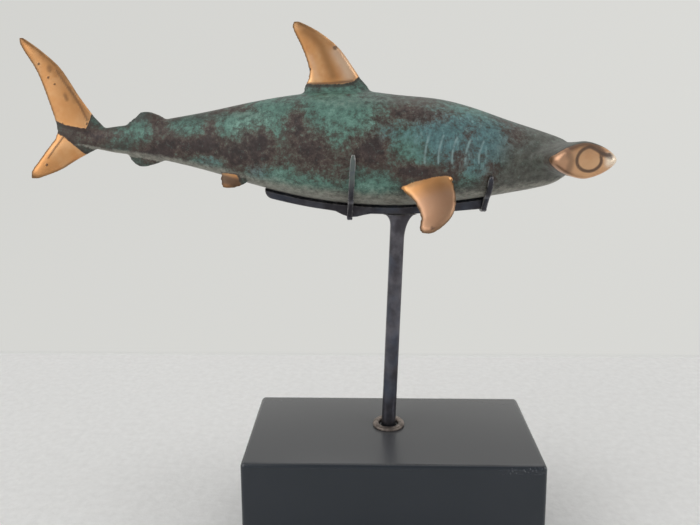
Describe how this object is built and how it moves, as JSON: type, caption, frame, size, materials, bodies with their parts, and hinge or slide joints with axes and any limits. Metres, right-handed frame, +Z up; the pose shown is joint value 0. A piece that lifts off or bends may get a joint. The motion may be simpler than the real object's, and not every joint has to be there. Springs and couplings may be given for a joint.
{
  "type": "shark figurine on stand",
  "caption": "Cast hammerhead shark figurine with a patinated body and polished fins, held level in a clip cradle on a slim post above a rectangular block.",
  "frame": {"origin": "centre of the block's underside, which rests on the table", "axes": "+X along the block and towards the shark's head, +Y away from the pictured side, +Z up"},
  "size_m": [0.3139, 0.0844, 0.2831],
  "materials": {
    "patinated_bronze": "cast metal with brown and green patina, fins and hammer ends polished to bare metal",
    "blackened_steel": "black, satin, slightly worn at the edges",
    "dull_brass": "tarnished warm grey metal",
    "painted_wood": "satin charcoal paint"
  },
  "bodies": {
    "root": {"shark": "patinated_bronze", "cradle_bar": "blackened_steel", "rear_clip": "blackened_steel", "front_clip": "blackened_steel", "post": "blackened_steel", "foot_washer": "dull_brass", "base_block": "painted_wood"}
  },
  "joints": []
}
